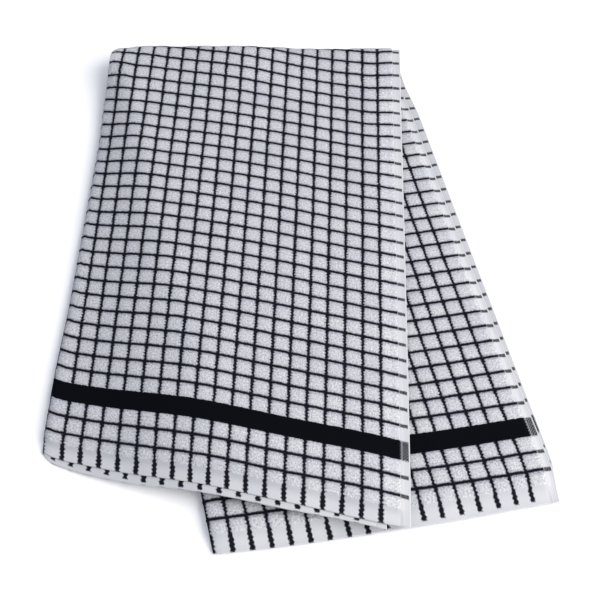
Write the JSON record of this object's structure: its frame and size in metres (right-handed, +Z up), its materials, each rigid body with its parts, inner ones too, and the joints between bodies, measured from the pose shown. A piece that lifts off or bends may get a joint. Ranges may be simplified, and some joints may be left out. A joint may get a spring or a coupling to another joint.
{
  "type": "folded terry tea towel",
  "caption": "Black and white checked terry tea towel, folded lengthwise and then crosswise, lying flat with its two halves fanned apart.",
  "frame": {"origin": "centre of the towel's bounding box, at the bottom, on the surface it lies on", "axes": "+X right, seen with the hems nearest and the crosswise fold farthest; +Y from the hems towards the crosswise fold; +Z up, out of the table"},
  "size_m": [0.3198, 0.4284, 0.022],
  "materials": {
    "terry": "looped cotton pile, matte"
  },
  "bodies": {
    "root": {"towel": "terry"}
  },
  "joints": []
}
